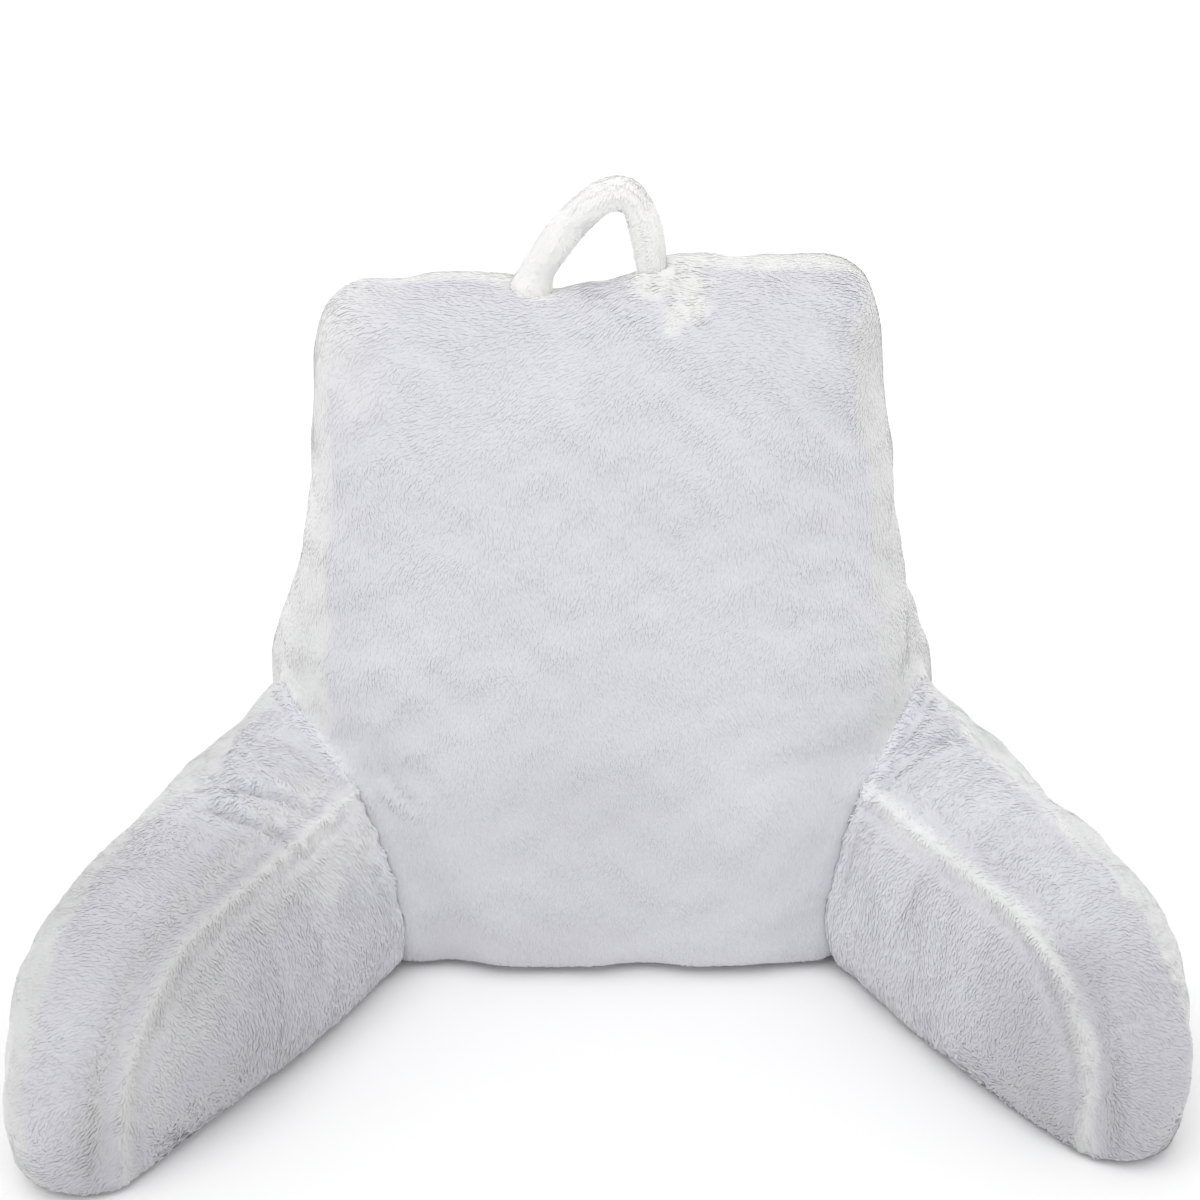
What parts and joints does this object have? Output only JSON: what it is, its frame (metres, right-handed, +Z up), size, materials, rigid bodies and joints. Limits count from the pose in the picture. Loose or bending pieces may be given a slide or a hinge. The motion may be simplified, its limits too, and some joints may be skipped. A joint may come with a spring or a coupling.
{
  "type": "reading pillow with arms",
  "caption": "Plush bedrest cushion with a tall leaning back, boxed arms that splay forward on either side of the sitter, and a carrying handle at the top edge.",
  "frame": {"origin": "on the surface it rests on, at the middle of its footprint", "axes": "+Z up, +Y towards the rear panel, +X to the right as seen from the sitter's side"},
  "size_m": [0.8506, 0.5646, 0.5982],
  "materials": {
    "plush": "matt short-pile faux fur, pale lavender grey",
    "plush_pale": "matt short-pile faux fur, off-white"
  },
  "bodies": {
    "root": {"back_cushion": "plush", "arm_left": "plush", "arm_right": "plush", "handle": "plush_pale"}
  },
  "joints": []
}
